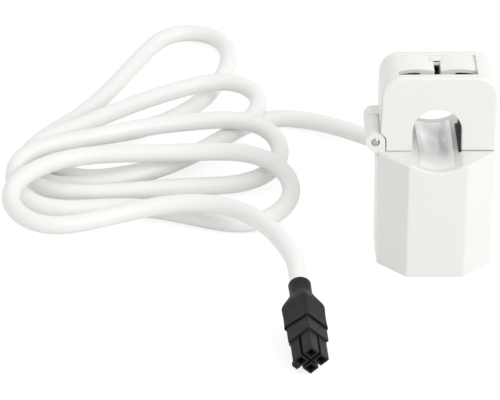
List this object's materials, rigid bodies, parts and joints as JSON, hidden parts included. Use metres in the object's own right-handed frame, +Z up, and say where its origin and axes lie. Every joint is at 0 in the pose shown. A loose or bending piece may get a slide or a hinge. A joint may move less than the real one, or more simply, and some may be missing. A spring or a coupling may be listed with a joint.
{
  "type": "split-core current clamp",
  "caption": "Hinged split-core current clamp in white plastic with an eight-sided housing, an arched conductor window, sprung core and a looped signal cable ending in a black latched plug.",
  "frame": {"origin": "centre of the housing's base, on the surface it stands on", "axes": "+Z up, conductor window along Y, front face towards -Y, hinge on the -X side"},
  "size_m": [0.1526, 0.2252, 0.064],
  "materials": {
    "white_plastic": "moulded, fine gloss",
    "core_steel": "laminated steel",
    "bobbin_nylon": "moulded",
    "copper_wire": "enamelled copper",
    "coil_tape": "polyester tape",
    "board": "solder mask",
    "tinned_metal": "tinned",
    "component_body": "lacquered",
    "diode_body": "moulded",
    "wire_insulation": "extruded",
    "liner_metal": "bright rolled",
    "window_liner": "dark insulating liner",
    "pin_steel": "drawn",
    "cable_jacket": "soft extruded jacket",
    "black_sleeve": "shrink tubing",
    "black_plastic": "moulded",
    "contact_brass": "tinned brass"
  },
  "bodies": {
    "housing": {"lower_housing": "white_plastic", "bottom_cover": "white_plastic", "lower_core": "core_steel", "bobbin": "bobbin_nylon", "secondary_winding": "copper_wire", "winding_tape": "coil_tape", "circuit_board": "board", "bobbin_pins": "tinned_metal", "burden_resistor": "component_body", "protection_diodes": "diode_body", "lead_wires": "wire_insulation", "saddle_liner": "liner_metal", "hinge_pin": "pin_steel", "strain_relief": "white_plastic", "cable_ends": "cable_jacket", "cable": "cable_jacket", "shrink_sleeve": "black_sleeve", "connector_housing": "black_plastic", "connector_terminals": "contact_brass", "connector_wires": "wire_insulation"},
    "jaw": {"jaw_shell": "white_plastic", "upper_core": "core_steel", "jaw_liner": "window_liner", "core_retainer": "white_plastic"},
    "plug_latch": {"connector_latch": "black_plastic"}
  },
  "joints": [
    {"name": "jaw_hinge", "type": "hinge", "parent": "housing", "child": "jaw", "pos_m": [-0.0187, 0.0011, 0.0422], "axis": [0, -1, 0], "range_deg": [0, 110]},
    {"name": "plug_latch_flex", "type": "hinge", "parent": "housing", "child": "plug_latch", "pos_m": [-0.04388, -0.06552, 0.00399], "axis": [0.6943, 0.19, -0.6941], "range_deg": [0, 6], "stiffness_Nm_per_rad": 0.05}
  ]
}
